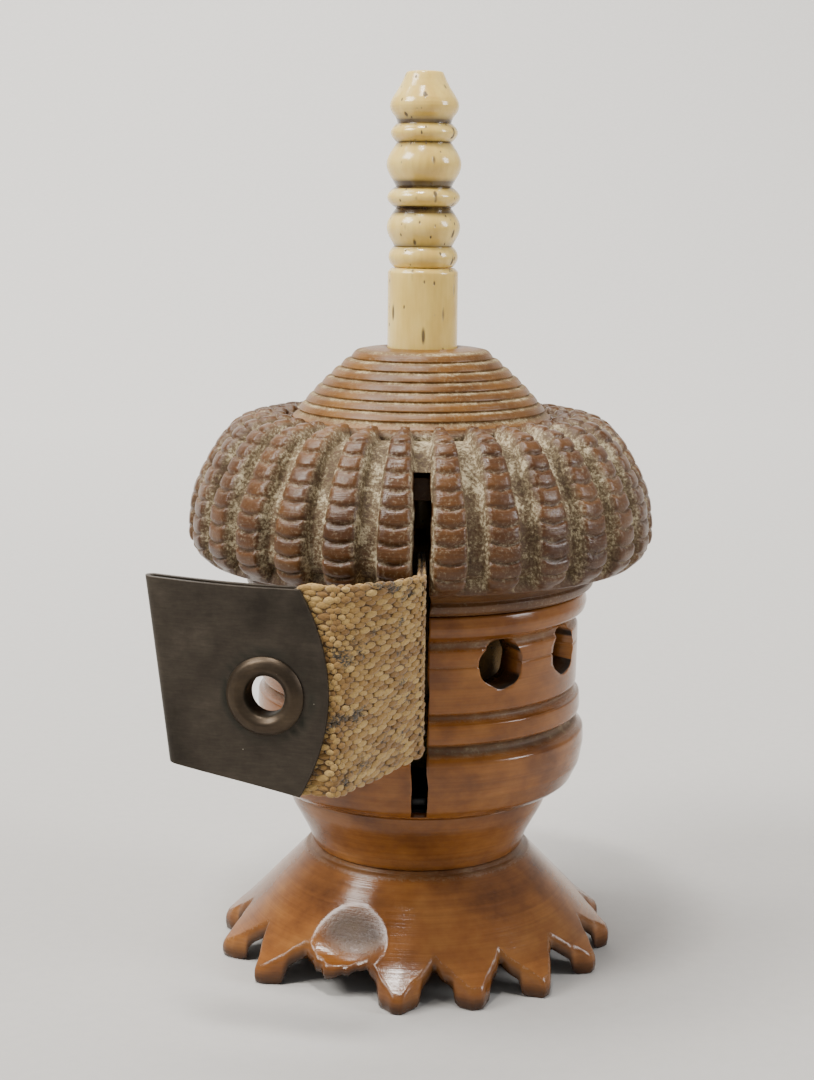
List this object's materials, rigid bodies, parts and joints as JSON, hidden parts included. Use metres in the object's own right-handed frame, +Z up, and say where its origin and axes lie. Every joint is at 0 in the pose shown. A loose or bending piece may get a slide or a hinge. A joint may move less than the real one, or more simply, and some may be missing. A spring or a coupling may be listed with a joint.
{
  "type": "tape measure",
  "caption": "Small turned tape measure: ribbed case on a toothed foot, bone winding spindle, woven tape leaving a slot to a metal end tab with an eyelet.",
  "frame": {"origin": "on the table, under the middle of the whole footprint including the end tab", "axes": "+Z up along the spindle, -Y the front, where the tape leaves the case"},
  "size_m": [0.037, 0.0414, 0.0683],
  "materials": {
    "pale_nut": "turned nut shell, orange-brown, polished, with fine turning lines",
    "dark_nut": "darker turned nut shell, polished on the ribs, with pale dust in the grooves",
    "bone": "polished bone with dark pores",
    "tape": "coarse woven cotton, ochre, stained",
    "tab_metal": "dark bronze patina, satin",
    "eyelet_metal": "worn brown patina, satin"
  },
  "bodies": {
    "case": {"foot": "pale_nut", "cup": "pale_nut", "barrel": "pale_nut", "skirt": "dark_nut", "dome_cap": "dark_nut"},
    "spindle": {"arbor": "bone", "finial": "bone", "tape_coil": "tape"},
    "tape": {"tape_end": "tape", "end_tab": "tab_metal", "eyelet": "eyelet_metal"}
  },
  "joints": [
    {"name": "spindle_turn", "type": "hinge", "parent": "case", "child": "spindle", "pos_m": [0.00057, 0.00275, 0.03], "axis": [0, 0, 1], "range_deg": [-57.3, 0]},
    {"name": "tape_draw", "type": "slide", "parent": "case", "child": "tape", "axis": [0, -1, 0], "range_m": [0, 0.008], "deforming": ["tape_end"]}
  ],
  "couplings": [
    {"joint": "spindle_turn", "follows": "tape_draw", "rad_per_m": -125}
  ]
}
